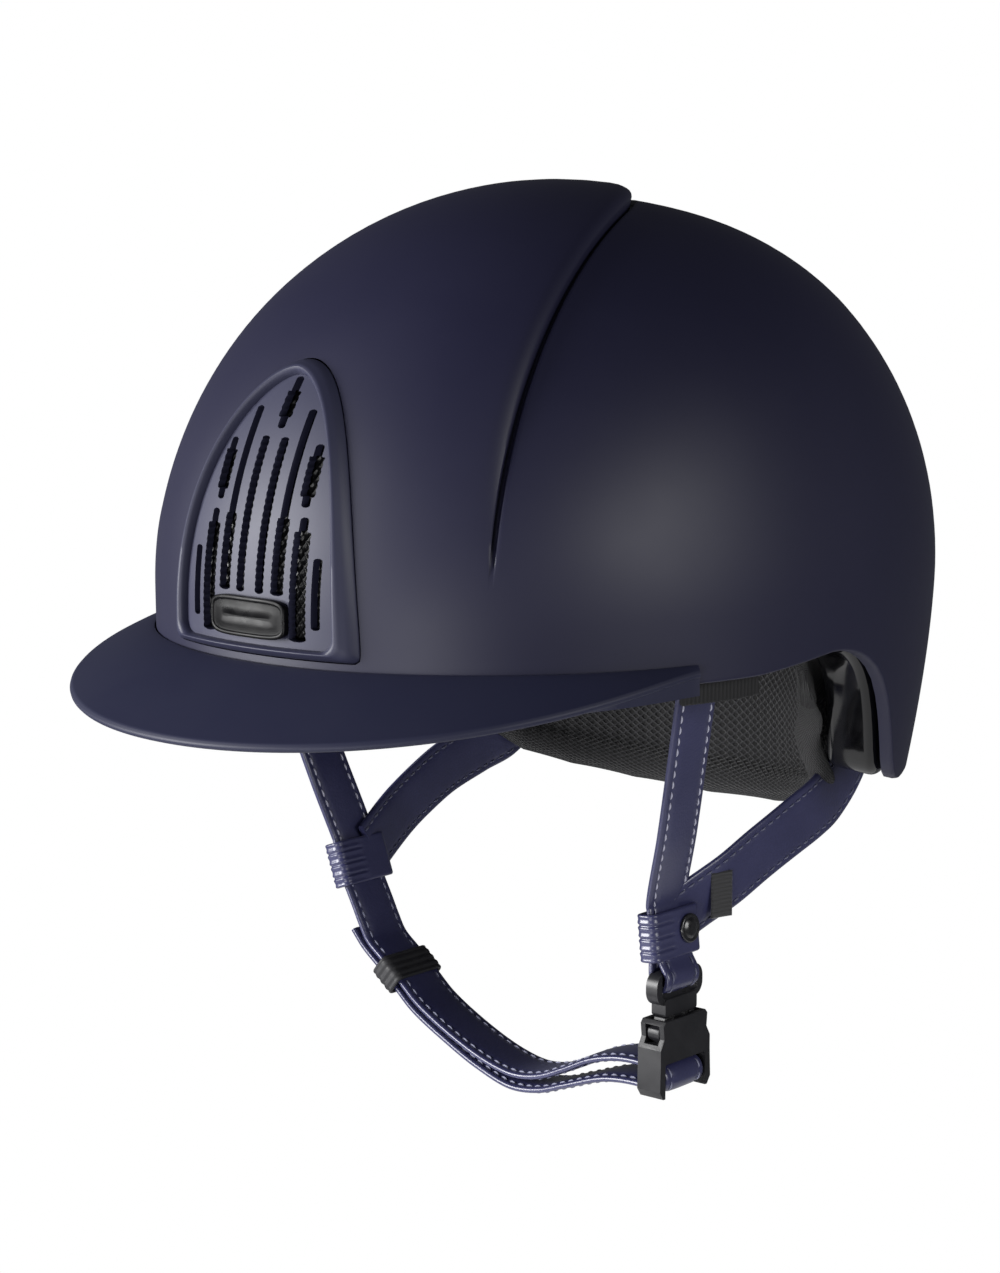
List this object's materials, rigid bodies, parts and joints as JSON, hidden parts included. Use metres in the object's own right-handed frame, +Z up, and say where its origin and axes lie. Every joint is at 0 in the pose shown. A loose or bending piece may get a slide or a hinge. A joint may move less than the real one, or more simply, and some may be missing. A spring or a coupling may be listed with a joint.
{
  "type": "equestrian riding helmet",
  "caption": "Riding helmet with a stepped shell, short peak, arched slotted front grille, deep nape liner and a strap harness with a side-release buckle.",
  "frame": {"origin": "middle of the head opening, level with the joint between shell and peak", "axes": "+Z up through the crown, -Y to the front, +X to the wearer's left"},
  "size_m": [0.2182, 0.2926, 0.2738],
  "materials": {
    "shell": "matt navy paint on a moulded shell",
    "peak": "matt navy, soft touch",
    "grille": "satin navy moulding",
    "mesh": "black woven mesh",
    "gloss_black": "polished black moulding",
    "foam": "black expanded polystyrene",
    "knit": "dark knitted mesh over foam",
    "leather": "navy leather, stitched along both edges",
    "stud": "black lacquered brass",
    "woven_tag": "blank woven label",
    "keeper": "ribbed black rubber",
    "buckle": "satin black acetal"
  },
  "bodies": {
    "root": {"outer_shell": "shell", "peak": "peak", "grille_frame": "grille", "grille_mesh": "mesh", "grille_plate": "gloss_black", "impact_liner": "foam", "rear_inner_cover": "gloss_black", "headband_pad": "knit", "crown_pad": "knit", "nape_pad": "knit", "side_pad_left": "knit", "side_pad_right": "knit", "front_strap_left": "leather", "front_strap_right": "leather", "rear_strap_left": "leather", "rear_strap_right": "leather", "strap_loop_left": "leather", "strap_loop_right": "leather", "press_stud_left": "stud", "press_stud_right": "stud", "strap_tag": "woven_tag", "strap_stub_right": "leather"},
    "chin_side": {"chin_strap": "leather", "buckle_socket_half": "buckle"},
    "keeper": {"chin_keeper": "keeper"},
    "left_end": {"strap_stub_left": "leather", "buckle_prong_half": "buckle"},
    "prong_front": {"buckle_prong_front": "buckle"},
    "prong_rear": {"buckle_prong_rear": "buckle"}
  },
  "joints": [
    {"name": "strap_release", "type": "hinge", "parent": "root", "child": "chin_side", "pos_m": [-0.0568, -0.019, -0.0981], "axis": [0, 1, 0], "range_deg": [0, 60]},
    {"name": "left_end_swing", "type": "hinge", "parent": "root", "child": "left_end", "pos_m": [0.0643, -0.019, -0.0968], "axis": [0, -1, 0], "range_deg": [0, 12]},
    {"name": "keeper_slide", "type": "slide", "parent": "chin_side", "child": "keeper", "axis": [0.7817, 0, -0.6237], "range_m": [-0.006, 0.006]},
    {"name": "prong_front_press", "type": "hinge", "parent": "left_end", "child": "prong_front", "pos_m": [0.066, -0.0247, -0.1128], "axis": [1, 0, 0], "range_deg": [0, 9], "stiffness_Nm_per_rad": 0.1},
    {"name": "prong_rear_press", "type": "hinge", "parent": "left_end", "child": "prong_rear", "pos_m": [0.066, -0.0133, -0.1128], "axis": [1, 0, 0], "range_deg": [-9, 0], "stiffness_Nm_per_rad": 0.1}
  ],
  "couplings": [
    {"joint": "left_end_swing", "follows": "strap_release", "ratio": 0.2},
    {"joint": "prong_rear_press", "follows": "prong_front_press", "ratio": -1}
  ]
}
